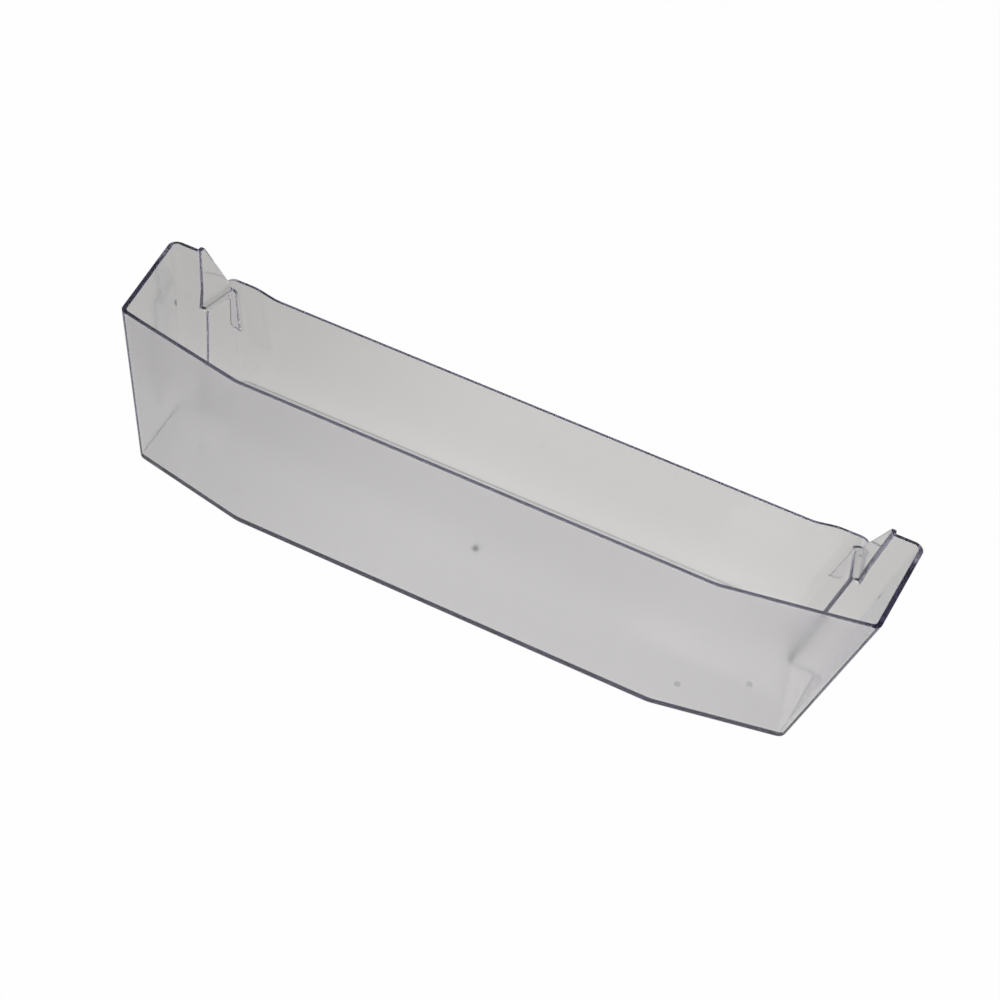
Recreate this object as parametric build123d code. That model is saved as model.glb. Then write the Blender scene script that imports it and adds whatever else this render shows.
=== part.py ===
# Clear moulded shelf that hangs on the inside of a fridge door.
# X runs along the shelf, Y from its front wall to the door, Z up.
# Places along Y start at the front wall, and the finished shelf is moved to stand over its middle.
import os
from math import cos, radians, sin, sqrt, tan

from build123d import *

# Thickness of the moulding
floor_thickness = 2.8
wall_thickness = 3.0
back_thickness = 2.6

# Heights above the underside
front_height = 100.0
seat_height = 67.0

# Heights above the seat, and how far the retaining tab hangs below it
back_rise = 6.0
flange_bend_rise = 13.0
tab_length = 27.0
notch_drop = 0.5
ear_rise = 3.0

# Plan of the outer faces, continued down to the underside
depth = 125.0
centre_panel_width = 265.6
front_corner_span = 422.2
flange_reach = 30.5
flange_width = 11.72
seat_inset = 8.2

# Turn of the walls in plan, in degrees
angled_panel_turn = 12.6
side_turn = 8.0
end_turn = 4.5

# Outward lean of the walls, in degrees
angled_panel_lean = 1.3
side_lean = 10.45
flange_lean = 9.23
lower_end_lean = 11.4
upper_end_lean = 7.3

# Rim of the sides and of the back
side_rise = 5.9
rise_radius = 60.0
tip_setback = 2.9
tip_radius = 1.5
ear_length = 14.5
ear_ramp = 14.0
ear_radius = 8.0
ramp_radius = 30.0
edge_radius = 0.6

# Outer radii of the corners, the seat and the lower edge, and the radius inside along the floor's edge
crease_radius = 24.0
front_corner_radius = 6.0
rear_corner_radius = 6.0
flange_bend_radius = 40.0
root_radius = 0.5
seat_radius = 1.2
lower_back_radius = 6.0
tab_corner_radius = 4.0
floor_radius = 2.0
inner_floor_radius = 1.0

# Marks of the mould
gate_diameter = 5.0
gate_depth = 0.5
nub_diameter = 1.6
pin_diameter = 4.0
pin_depth = 0.25
floor_pin_insets = [66.6, 28.1]
floor_pin_places = [23.0, 47.0]
side_pin_reach = 41.0
side_pin_height = 71.0

# How far the cutting blocks reach past the moulding
beyond = 60.0

back_inner = depth - back_thickness
back_height = seat_height + back_rise
notch_height = back_height - notch_drop
flange_bend_height = seat_height + flange_bend_rise
upper_flange_place = depth - flange_reach
lower_flange_place = upper_flange_place - flange_bend_height * tan(radians(flange_lean))
tip_place = upper_flange_place + tip_setback
tab_top = seat_height + wall_thickness / 2
strip_foot = (tab_top + seat_height + wall_thickness) / 2
corner_place = (front_corner_span - centre_panel_width) / 2 * tan(radians(angled_panel_turn))
tip_height = front_height + (tip_place - corner_place) * tan(radians(side_rise))
cut_top = tip_height + beyond
cut_side = front_corner_span / 2 + cut_top * tan(radians(side_lean)) + beyond


# A wall's trace at a height: its outward direction in plan, and how far out it lies
def trace(turn, lean, through, height, inset):
    across = (sin(radians(turn)), -cos(radians(turn)))
    reach = across[0] * through[0] + across[1] * through[1] + height * tan(radians(lean)) - inset
    return across, reach


def plane_at_x(x):
    return (1, 0), x


def plane_at_y(y):
    return (0, 1), y


# The flange leans back up to its bend and is upright above it
def flange_trace(height, inset):
    below_bend = max(flange_bend_height - height, 0)
    return plane_at_y(upper_flange_place - below_bend * tan(radians(flange_lean)) - inset)


def side_trace(height, inset):
    return trace(90 - side_turn, side_lean, (front_corner_span / 2, corner_place), height, inset)


# The point where two traces cross, at their height
def meeting(first, second, height):
    (a, b), p = first
    (c, d), q = second
    scale = a * d - b * c
    return (p * d - q * b) / scale, (a * q - c * p) / scale, height


# How far out the upper end wall leaves the flange, continued down to the underside
def end_foot():
    return meeting(side_trace(0, 0), plane_at_y(upper_flange_place), 0)[0] - flange_width


def lower_end_trace(height, inset):
    return trace(90 + end_turn, lower_end_lean, (end_foot() - seat_inset, lower_flange_place), height, inset)


def upper_end_trace(height, inset):
    return trace(90 + end_turn, upper_end_lean, (end_foot(), upper_flange_place), height, inset)


# Corners between traces that follow each other
def corners(traces, height):
    return [meeting(a, b, height) for a, b in zip(traces, traces[1:])]


# Right half of the plan at a height: crease, front corner, rear corner, flange root and back corner
def half_outline(height, inset, back_inset):
    front = plane_at_y(inset)
    angled = trace(angled_panel_turn, angled_panel_lean, (centre_panel_width / 2, 0), height, inset)
    side = side_trace(height, inset)
    flange = flange_trace(height, inset)
    end = upper_end_trace(height, inset)
    back = plane_at_y(depth - back_inset)
    return corners([front, angled, side, flange, end, back], height)


def halfway(first, second):
    return tuple((a + b) / 2 for a, b in zip(first, second))


def mirrored(points):
    return [(-x, *rest) for x, *rest in points]


# A solid with flat faces through outlines one above the other
def block(*levels):
    faces = [Face(Wire.make_polygon(levels[0])), Face(Wire.make_polygon(levels[-1]))]
    for low, high in zip(levels, levels[1:]):
        for i in range(len(low)):
            j = (i + 1) % len(low)
            faces.append(Face(Wire.make_polygon([low[i], low[j], high[j], high[i]])))
    return Solid(Shell(faces))


# Rounds the edges that pass nearest to the points
def rounded(solid, points, radius):
    return fillet([solid.edges().sort_by_distance(Vector(*point))[0] for point in points], radius)


def rounded_pair(solid, points, radius):
    return rounded(solid, points + mirrored(points), radius)


def with_mirror_image(solid):
    return solid + mirror(solid, Plane.YZ)


# What the door's lug takes up under the seat at each end, grown by a wall for the inside
def seat_space(grow, back_inset):
    levels = []
    for z in (-beyond, seat_height + grow):
        flange = flange_trace(z, grow)
        end = lower_end_trace(z, grow)
        back = plane_at_y(depth - back_inset)
        within = plane_at_x(end_foot() - beyond)
        behind = plane_at_y(depth + beyond)
        outside = plane_at_x(cut_side)
        levels.append(corners([flange, end, back, within, behind, outside, flange], z))
    low, high = levels
    space = rounded(block(low, high), [halfway(low[1], high[1])], lower_back_radius - grow)
    edges = [halfway(low[0], high[0]), halfway(high[0], high[1]), halfway(high[5], high[0])]
    return with_mirror_image(rounded(space, edges, seat_radius + grow))


# The moulding as if it were solid, or with a wall's inset the hollow inside it
def tray_body(bottom, inset, back_inset, lower_radius):
    low, bend, high = [half_outline(z, inset, back_inset) for z in (bottom, flange_bend_height, cut_top)]
    lower = [halfway(a, b) for a, b in zip(low, bend)]
    upper = [halfway(a, b) for a, b in zip(bend, high)]
    body = block(*[half + mirrored(half[::-1]) for half in (low, bend, high)])
    body = rounded_pair(body, [halfway(bend[2], bend[3])], flange_bend_radius)
    body = rounded_pair(body, [lower[0]], crease_radius - inset)
    body = rounded_pair(body, [lower[1]], front_corner_radius - inset)
    body = rounded_pair(body, [lower[2], upper[2]], rear_corner_radius - inset)
    body = rounded_pair(body, [lower[3], upper[3]], root_radius + inset)
    body = body - seat_space(inset, back_inset)
    underside = body.faces().sort_by(Axis.Z)[0]
    return fillet(underside.edges(), lower_radius)


# Tab that carries the back wall on past the lower end wall, behind the door's lug
def retaining_tabs():
    levels = []
    for z in (seat_height - tab_length, tab_top):
        front = plane_at_y(back_inner)
        rear = plane_at_y(depth)
        end = upper_end_trace(z, 0)
        lower_corner = meeting(lower_end_trace(z, 0), rear, z)
        within = plane_at_x(lower_corner[0] - lower_back_radius)
        levels.append(corners([front, end, rear, within, front], z))
    low, high = levels
    tab = rounded(block(low, high), [halfway(low[0], low[1])], tab_corner_radius)
    tab = rounded(tab, [halfway(low[0], high[0]), halfway(low[1], high[1])], edge_radius)
    return with_mirror_image(tab)


# What lies above the rim of the front and the sides, and behind them above the foot of the back's strip
def space_above():
    outline = [(-beyond, front_height), (corner_place, front_height), (tip_place, tip_height),
               (back_inner, notch_height), (back_inner, strip_foot), (depth + beyond, strip_foot),
               (depth + beyond, cut_top + beyond), (-beyond, cut_top + beyond)]
    radii = [0, rise_radius, tip_radius, 0, 0, 0, 0, 0]
    profile = make_face(FilletPolyline(*outline, radius=radii, close=True))
    return extrude(Plane.YZ * profile, cut_side, both=True)


# The edges along the top of the front, the sides, the flanges and the tips
def rim_edges(shelf):
    tops = [face for face in shelf.faces() if face.center().Z > front_height - edge_radius]
    tops = [face for face in tops if face.normal_at(face.center()).Z > cos(radians(60))]
    edges = [edge for face in tops for edge in face.edges()]
    return [edge for edge in edges if edges.count(edge) == 1]


# What lies past the upper end wall on each side of the back
def space_past_ends():
    levels = []
    for z in (0, cut_top):
        end = upper_end_trace(z, 0)
        walls = [plane_at_y(back_inner - beyond), end, plane_at_y(depth + beyond), plane_at_x(cut_side)]
        levels.append(corners(walls + walls[:1], z))
    return with_mirror_image(block(*levels))


# Upper strip of the back wall, whose rounded rim rises to an ear at each end
def back_strip():
    notch = meeting(upper_end_trace(notch_height, 0), plane_at_y(back_inner), notch_height)
    ear_top = back_height + ear_rise
    above_centre = ear_radius - (ear_top - notch_height)
    ear_flat_end = notch[0] - sqrt(ear_radius ** 2 - above_centre ** 2)
    ear_full = ear_flat_end - ear_length
    ear_side = ear_flat_end + ear_radius
    half = [(ear_full - ear_ramp, back_height), (ear_full, ear_top), (ear_side, ear_top),
            (ear_side, strip_foot - ear_radius)]
    radii = [ramp_radius, ramp_radius, ear_radius, 0]
    profile = make_face(FilletPolyline(*half, *mirrored(half[::-1]), radius=radii + radii[::-1], close=True))
    strip = extrude(Plane.XZ.offset(-depth) * profile, back_thickness)
    faces = strip.faces().sort_by(Axis.Y)
    edges = [edge for face in (faces[0], faces[-1]) for edge in face.edges()]
    strip = fillet([edge for edge in edges if edge.center().Z > strip_foot], edge_radius)
    return strip - space_past_ends()


def pin_mark():
    return Cylinder(pin_diameter / 2, 2 * pin_depth)


# Round marks that the mould left: the gate under the floor, and ejector pins on the floor and the sides
def mould_marks():
    gate = Cylinder(gate_diameter / 2, 2 * gate_depth) - Cylinder(nub_diameter / 2, 2 * gate_depth)
    marks = [Location((0, depth / 2, 0)) * gate]
    for inset, y in zip(floor_pin_insets, floor_pin_places):
        x = front_corner_span / 2 - inset
        marks += [Location((side * x, y, floor_thickness)) * pin_mark() for side in (1, -1)]
    turn, lean = radians(side_turn), radians(side_lean)
    outward = (cos(turn) * cos(lean), -sin(turn) * cos(lean), -sin(lean))
    z = side_pin_height
    place = meeting(side_trace(z, wall_thickness), plane_at_y(depth - side_pin_reach), z)
    mark = Plane(origin=place, z_dir=outward) * pin_mark()
    return marks + [mark, mirror(mark, Plane.YZ)]


def door_shelf():
    solid = tray_body(0, 0, 0, floor_radius)
    hollow = tray_body(floor_thickness, wall_thickness, back_thickness, inner_floor_radius)
    shelf = solid + retaining_tabs() - hollow - space_above()
    shelf = fillet(rim_edges(shelf), edge_radius)
    shelf = shelf + back_strip()
    for mark in mould_marks():
        shelf = shelf - mark
    return Location((0, -depth / 2, 0)) * shelf


os.makedirs("parts", exist_ok=True)
shelf = door_shelf()
print("volume", round(shelf.volume), "valid", shelf.is_valid, "solids", len(shelf.solids()))
export_step(shelf, "parts/door_shelf.step")
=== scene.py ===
import math

import bmesh
import bpy
from mathutils import Euler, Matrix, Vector


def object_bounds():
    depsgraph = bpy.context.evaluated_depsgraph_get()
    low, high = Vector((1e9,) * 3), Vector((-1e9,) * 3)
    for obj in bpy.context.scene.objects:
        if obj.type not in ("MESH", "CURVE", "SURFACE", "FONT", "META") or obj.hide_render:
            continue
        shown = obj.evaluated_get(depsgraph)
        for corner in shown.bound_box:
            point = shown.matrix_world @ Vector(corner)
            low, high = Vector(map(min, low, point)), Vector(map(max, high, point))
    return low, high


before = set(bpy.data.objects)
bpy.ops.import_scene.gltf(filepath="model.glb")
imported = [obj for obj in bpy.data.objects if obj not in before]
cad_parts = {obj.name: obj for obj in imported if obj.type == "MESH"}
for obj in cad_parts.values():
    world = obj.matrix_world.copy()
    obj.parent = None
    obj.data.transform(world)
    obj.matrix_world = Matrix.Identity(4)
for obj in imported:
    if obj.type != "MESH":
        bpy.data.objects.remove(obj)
cadBox = [list(corner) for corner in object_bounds()]
print("frame loaded, nodes:", sorted(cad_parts))

mm = 0.001                        # the scene is in metres
frontFace = -cadBox[0][1]         # outer face of the front wall, in front of the middle


def hexToLinear(code):
    channels = [int(code[i:i + 2], 16) / 255 for i in (1, 3, 5)]
    linear = [c / 12.92 if c <= 0.04045 else ((c + 0.055) / 1.055) ** 2.4 for c in channels]
    return (*linear, 1.0)


# On a Mix node, inputs 2 and 3 are the numbers and 6 and 7 the colours, and input 0 is the share.
# Its output 0 is then the number, and 2 the colour.
def addNode(tree, kind, settings=None, links=None):
    node = tree.nodes.new(kind)
    for name, value in (settings or {}).items():
        if isinstance(name, int) or name in node.inputs:
            node.inputs[name].default_value = value
        else:
            setattr(node, name, value)
    for name, source in (links or {}).items():
        tree.links.new(source, node.inputs[name])
    return node


def newMaterial(name):
    material = bpy.data.materials.new(name)
    material.use_nodes = True
    material.node_tree.nodes.clear()
    return material


mouldMarks = {                    # frosted dots that the gate and the ejector pins leave
    "tint": "#50505a",
    "haze": 0.6,
    "roughness": 0.5,
    "fade": (1.54, 2.42),         # mm from a dot's middle, where the frost thins and where it ends
    "dots": {                     # middle in mm, then how plainly each shows
        "gate": ((0.0, 0.0, -0.5), 1.0),
        "front floor pin": ((144.5, -39.5, 2.8), 0.28),
        "rear floor pin": ((183.0, -15.5, 2.8), 0.24),
        "right side pin": ((229.8, 21.6, 71.2), 0.6),
        "left side pin": ((-229.8, 21.6, 71.2), 0.6),
    },
}


def frostShare(tree, coords, marks):
    thins, ends = marks["fade"]
    share = None
    for middle, plainness in marks["dots"].values():
        away = addNode(tree, "ShaderNodeVectorMath",
                       {"operation": "DISTANCE", 1: [side * mm for side in middle]},
                       {0: coords.outputs["Object"]})
        dot = addNode(tree, "ShaderNodeMapRange",
                      {"From Min": thins * mm, "From Max": ends * mm, "To Min": plainness, "To Max": 0.0},
                      {"Value": away.outputs["Value"]}).outputs["Result"]
        if share is None:
            share = dot
        else:
            share = addNode(tree, "ShaderNodeMath", {"operation": "MAXIMUM"},
                            {0: share, 1: dot}).outputs["Value"]
    return share


scuffAndContactShade = {                   # lower edge: dulled where the shelf is set down, and its grey tint is painted shade where the shelf meets the floor
    # painted shade: this grey tint and haze darken the lower edge where the shelf meets the floor
    "tint": "#c0c0c8",
    "haze": 0.14,
    "roughness": 0.35,
    "foot": (0.02, 0.2),          # mm up, the flat underside stays clear
    "top": (1.44, 2.4),           # mm up, where it fades out
}


# share of the lower edge that is dulled and takes the painted shade
def scuffAndShadeShare(tree, place, edge):
    above = addNode(tree, "ShaderNodeMapRange",
                    {"From Min": edge["foot"][0] * mm, "From Max": edge["foot"][1] * mm},
                    {"Value": place.outputs["Z"]})
    below = addNode(tree, "ShaderNodeMapRange",
                    {"From Min": edge["top"][0] * mm, "From Max": edge["top"][1] * mm,
                     "To Min": 1.0, "To Max": 0.0},
                    {"Value": place.outputs["Z"]})
    share = addNode(tree, "ShaderNodeMath", {"operation": "MULTIPLY"},
                    {0: above.outputs["Result"], 1: below.outputs["Result"]})
    return share.outputs["Value"]


satinWall = {                     # inner face of the front wall, softens what is seen through it
    "roughness": 0.24,
    "wall": 3.0,                  # mm
    "reach": 0.4,                 # mm either side of the inner face
    "crease": 132.8,              # mm from the middle, where the angled panels start
    "turn": 12.6,                 # degrees, of the angled panels
    "lean": 1.3,                  # degrees, of the angled panels
    "top": (96.5, 98.5),          # mm, the satin fades out under the rim
    "foot": (46.0, 72.0),         # mm, and again towards the floor
}


def satinShare(tree, place, satin):
    # Both angled panels are measured as the right one, so the left half is folded over
    across = addNode(tree, "ShaderNodeMath", {"operation": "ABSOLUTE"}, {0: place.outputs["X"]})
    rightHalf = addNode(tree, "ShaderNodeCombineXYZ", None,
                        {"X": across.outputs["Value"], "Y": place.outputs["Y"], "Z": place.outputs["Z"]})
    turn = math.radians(satin["turn"])
    lean = math.radians(satin["lean"])
    outwards = (math.sin(turn), -math.cos(turn), -math.tan(lean))
    panelFace = math.sin(turn) * satin["crease"] * mm + math.cos(turn) * frontFace
    reached = addNode(tree, "ShaderNodeVectorMath", {"operation": "DOT_PRODUCT", 1: outwards},
                      {0: rightHalf.outputs["Vector"]})
    pastPanel = addNode(tree, "ShaderNodeMath", {"operation": "SUBTRACT", 1: panelFace},
                        {0: reached.outputs["Value"]})
    pastMiddle = addNode(tree, "ShaderNodeMath",
                         {"operation": "MULTIPLY_ADD", 1: -1.0, 2: -frontFace},
                         {0: place.outputs["Y"]})
    pastFront = addNode(tree, "ShaderNodeMath", {"operation": "MAXIMUM"},
                        {0: pastPanel.outputs["Value"], 1: pastMiddle.outputs["Value"]})
    onInner = addNode(tree, "ShaderNodeMath",
                      {"operation": "COMPARE", 1: -satin["wall"] * mm, 2: satin["reach"] * mm},
                      {0: pastFront.outputs["Value"]})
    below = addNode(tree, "ShaderNodeMapRange",
                    {"From Min": satin["top"][0] * mm, "From Max": satin["top"][1] * mm,
                     "To Min": 1.0, "To Max": 0.0},
                    {"Value": place.outputs["Z"]})
    above = addNode(tree, "ShaderNodeMapRange",
                    {"From Min": satin["foot"][0] * mm, "From Max": satin["foot"][1] * mm},
                    {"Value": place.outputs["Z"]})
    band = addNode(tree, "ShaderNodeMath", {"operation": "MULTIPLY"},
                   {0: above.outputs["Result"], 1: below.outputs["Result"]})
    share = addNode(tree, "ShaderNodeMath", {"operation": "MULTIPLY"},
                    {0: onInner.outputs["Value"], 1: band.outputs["Value"]})
    return share.outputs["Value"]


clearPlastic = {
    "surfaceTint": "#fdfcfe",
    "depthTint": "#a6a1ca",       # violet toner, seen where light runs along the wall
    "depthDensity": 20.0,         # per metre
    "ior": 1.58,
    "haze": 0.015,
    "roughness": 0.05,
    "glossSpread": 0.4,           # how far the roughness strays, as a share of it
    "flowSize": 60.0,             # mm, the patches in the gloss from the melt's flow
    "flowDetail": 2.0,
    "flowGrain": 0.4,
}


def makeClearPlastic(look, edge, marks, satin):
    # Clear polystyrene, injection moulded: glossy, violet where a wall is seen edge on,
    # dull along the lower edge with painted shade there, with frosted dots and a soft band under the front
    # rim
    material = newMaterial("clear moulded polystyrene")
    tree = material.node_tree
    coords = addNode(tree, "ShaderNodeTexCoord")
    place = addNode(tree, "ShaderNodeSeparateXYZ", None, {"Vector": coords.outputs["Object"]})
    scuffedAndShaded = scuffAndShadeShare(tree, place, edge)
    frosted = frostShare(tree, coords, marks)
    satinned = satinShare(tree, place, satin)

    # painted shade: the lower edge takes the grey edge tint
    edgeTintAndShade = addNode(tree, "ShaderNodeMix",
                       {"data_type": "RGBA", 6: hexToLinear(look["surfaceTint"]),
                        7: hexToLinear(edge["tint"])},
                       {0: scuffedAndShaded})
    tint = addNode(tree, "ShaderNodeMix", {"data_type": "RGBA", 7: hexToLinear(marks["tint"])},
                   {0: frosted, 6: edgeTintAndShade.outputs[2]})

    edgeClarity = addNode(tree, "ShaderNodeMix",
                          {"data_type": "FLOAT", 2: 1 - look["haze"], 3: 1 - edge["haze"]}, {0: scuffedAndShaded})
    clarity = addNode(tree, "ShaderNodeMix", {"data_type": "FLOAT", 3: 1 - marks["haze"]},
                      {0: frosted, 2: edgeClarity.outputs[0]})

    flow = addNode(tree, "ShaderNodeTexNoise",
                   {"Scale": 1 / (look["flowSize"] * mm), "Detail": look["flowDetail"],
                    "Roughness": look["flowGrain"]},
                   {"Vector": coords.outputs["Object"]})
    smoothest = look["roughness"] * (1 - look["glossSpread"])
    roughest = look["roughness"] * (1 + look["glossSpread"])
    rough = addNode(tree, "ShaderNodeMapRange", {"To Min": smoothest, "To Max": roughest},
                    {"Value": flow.outputs["Fac"]}).outputs["Result"]
    for share, finish in ((scuffedAndShaded, edge), (frosted, marks), (satinned, satin)):
        rough = addNode(tree, "ShaderNodeMix", {"data_type": "FLOAT", 3: finish["roughness"]},
                        {0: share, 2: rough}).outputs[0]

    shader = addNode(tree, "ShaderNodeBsdfPrincipled", {"IOR": look["ior"]},
                     {"Base Color": tint.outputs[2], "Transmission Weight": clarity.outputs[0],
                      "Roughness": rough})
    depth = addNode(tree, "ShaderNodeVolumeAbsorption",
                    {"Color": hexToLinear(look["depthTint"]), "Density": look["depthDensity"]})
    addNode(tree, "ShaderNodeOutputMaterial", None,
            {"Surface": shader.outputs["BSDF"], "Volume": depth.outputs["Volume"]})
    return material


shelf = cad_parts["door_shelf"]
shelf.data.materials.clear()
shelf.data.materials.append(makeClearPlastic(clearPlastic, scuffAndContactShade, mouldMarks, satinWall))
print("shelf dressed, triangles:", len(shelf.data.polygons))

stage = {
    "floorSize": 8.0,             # m
    "floorDrop": 0.3,             # mm below the shelf, so that the two faces don't share a plane
    "cardColour": "#f6f6f6",
    "whiteToCamera": 0.985,       # share of plain white in the card, the rest takes the lamp and the shadow
    "shareThroughPlastic": 0.96,  # the same share for what the plastic passes on and mirrors
    # painted shade: the card glows in this grey through the plastic, and the cove above takes the same
    # colour
    "toneThroughPlastic": "#d4d4cf",
    "palestAt": 0.05,             # m along the shelf, the middle of the card's pool of light
    "fallFrom": (0.06, 0.36),     # m from there, where the fall starts and ends
    "fallTo": 0.76,
    "frontLift": 1.13,            # the painted glow on the card is paler to the front
    "liftFrom": (0.12, 0.03),     # m back from the middle, where the lift starts and where it is full
    "coveTop": 0.2,               # pale cove up to here, as the sine of the elevation
    "roomFrom": 0.45,             # dim room from here up
    "room": 0.04,
}


def makeCard(look):
    # Matt white card: plain white to the eye; through the plastic it glows a soft grey, painted shade with
    # a painted pool of light that falls off along the shelf and is paler to the front
    material = newMaterial("white card")
    tree = material.node_tree
    coords = addNode(tree, "ShaderNodeTexCoord")
    place = addNode(tree, "ShaderNodeSeparateXYZ", None, {"Vector": coords.outputs["Object"]})
    along = addNode(tree, "ShaderNodeMath", {"operation": "SUBTRACT", 1: look["palestAt"]},
                    {0: place.outputs["X"]})
    offPalest = addNode(tree, "ShaderNodeMath", {"operation": "ABSOLUTE"}, {0: along.outputs["Value"]})
    fall = addNode(tree, "ShaderNodeMapRange",
                   {"interpolation_type": "SMOOTHSTEP", "From Min": look["fallFrom"][0],
                    "From Max": look["fallFrom"][1], "To Min": 1.0, "To Max": look["fallTo"]},
                   {"Value": offPalest.outputs["Value"]})
    lift = addNode(tree, "ShaderNodeMapRange",
                   {"interpolation_type": "SMOOTHSTEP", "From Min": look["liftFrom"][0],
                    "From Max": look["liftFrom"][1], "To Min": 1.0, "To Max": look["frontLift"]},
                   {"Value": place.outputs["Y"]})
    tone = addNode(tree, "ShaderNodeMath", {"operation": "MULTIPLY"},
                   {0: fall.outputs["Result"], 1: lift.outputs["Result"]})

    matt = addNode(tree, "ShaderNodeBsdfDiffuse", {"Color": hexToLinear(look["cardColour"])})
    # painted light: the card glows this grey through the plastic, brightest in a painted pool along the
    # shelf
    soft = addNode(tree, "ShaderNodeEmission", {"Color": hexToLinear(look["toneThroughPlastic"])},
                   {"Strength": tone.outputs["Value"]})
    plain = addNode(tree, "ShaderNodeEmission", {"Color": hexToLinear("#ffffff"), "Strength": 1.0})

    rays = addNode(tree, "ShaderNodeLightPath")
    throughPlastic = addNode(tree, "ShaderNodeMath", {"operation": "MAXIMUM"},
                             {0: rays.outputs["Is Transmission Ray"], 1: rays.outputs["Is Glossy Ray"]})
    toPlastic = addNode(tree, "ShaderNodeMath", {"operation": "MULTIPLY", 1: look["shareThroughPlastic"]},
                        {0: throughPlastic.outputs["Value"]})
    toCamera = addNode(tree, "ShaderNodeMath", {"operation": "MULTIPLY", 1: look["whiteToCamera"]},
                       {0: rays.outputs["Is Camera Ray"]})
    behindPlastic = addNode(tree, "ShaderNodeMixShader", None,
                            {0: toPlastic.outputs["Value"], 1: matt.outputs["BSDF"],
                             2: soft.outputs["Emission"]})
    blend = addNode(tree, "ShaderNodeMixShader", None,
                    {0: toCamera.outputs["Value"], 1: behindPlastic.outputs["Shader"],
                     2: plain.outputs["Emission"]})
    addNode(tree, "ShaderNodeOutputMaterial", None, {"Surface": blend.outputs["Shader"]})
    return material


def makeFloor(look):
    mesh = bpy.data.meshes.new("floor")
    grid = bmesh.new()
    bmesh.ops.create_grid(grid, x_segments=1, y_segments=1, size=look["floorSize"] / 2)
    bmesh.ops.translate(grid, verts=grid.verts, vec=(0, 0, -look["floorDrop"] * mm))
    grid.to_mesh(mesh)
    grid.free()
    mesh.materials.append(makeCard(look))
    floor = bpy.data.objects.new("floor", mesh)
    bpy.context.scene.collection.objects.link(floor)


def makeStudio(look):
    # Pale cove round the card under a dim room, and plain white to the eye
    world = bpy.data.worlds.new("studio")
    bpy.context.scene.world = world
    world.use_nodes = True
    tree = world.node_tree
    tree.nodes.clear()
    towards = addNode(tree, "ShaderNodeTexCoord")
    height = addNode(tree, "ShaderNodeSeparateXYZ", None, {"Vector": towards.outputs["Generated"]})
    strength = addNode(tree, "ShaderNodeMapRange",
                       {"From Min": look["coveTop"], "From Max": look["roomFrom"],
                        "To Min": 1.0, "To Max": look["room"]},
                       {"Value": height.outputs["Z"]})
    cove = addNode(tree, "ShaderNodeBackground", {"Color": hexToLinear(look["toneThroughPlastic"])},
                   {"Strength": strength.outputs["Result"]})
    plain = addNode(tree, "ShaderNodeBackground", {"Color": hexToLinear("#ffffff"), "Strength": 1.0})
    rays = addNode(tree, "ShaderNodeLightPath")
    sky = addNode(tree, "ShaderNodeMixShader", None,
                  {0: rays.outputs["Is Camera Ray"], 1: cove.outputs["Background"],
                   2: plain.outputs["Background"]})
    addNode(tree, "ShaderNodeOutputWorld", None, {"Surface": sky.outputs["Shader"]})


makeFloor(stage)
makeStudio(stage)
print("floor and studio made")

keyLamp = {
    "place": (0.5, -1.0, 1.5),    # m
    "aim": (0.0, 0.0, 0.05),      # m, the middle of the shelf
    "size": 1.2,                  # m
    "watts": 14.0,
}
lampData = bpy.data.lights.new("key", "AREA")
lampData.size = keyLamp["size"]
lampData.energy = keyLamp["watts"]
lamp = bpy.data.objects.new("key", lampData)
lamp.location = keyLamp["place"]
lamp.rotation_euler = (Vector(keyLamp["aim"]) - lamp.location).to_track_quat("-Z", "Y").to_euler()
bpy.context.scene.collection.objects.link(lamp)
print("lamp placed")

photoCamera = {
    "place": (0.13954, -0.63247, 0.57474),   # m
    "turns": (49.583, -11.816, 21.778),      # degrees
    "lens": 50.4,                 # mm
    "sensor": 36.0,               # mm
    "bounces": 40,                # light runs far inside the clear walls before it leaves at a rim
}
scene = bpy.context.scene
cameraData = bpy.data.cameras.new("photo camera")
cameraData.lens = photoCamera["lens"]
cameraData.sensor_width = photoCamera["sensor"]
camera = bpy.data.objects.new("photo camera", cameraData)
camera.location = photoCamera["place"]
camera.rotation_euler = Euler([math.radians(turn) for turn in photoCamera["turns"]], "XYZ")
scene.collection.objects.link(camera)
scene.camera = camera
scene.cycles.max_bounces = photoCamera["bounces"]
scene.cycles.glossy_bounces = photoCamera["bounces"]
scene.cycles.transmission_bounces = photoCamera["bounces"]
scene.view_settings.view_transform = "Standard"
print("camera set")
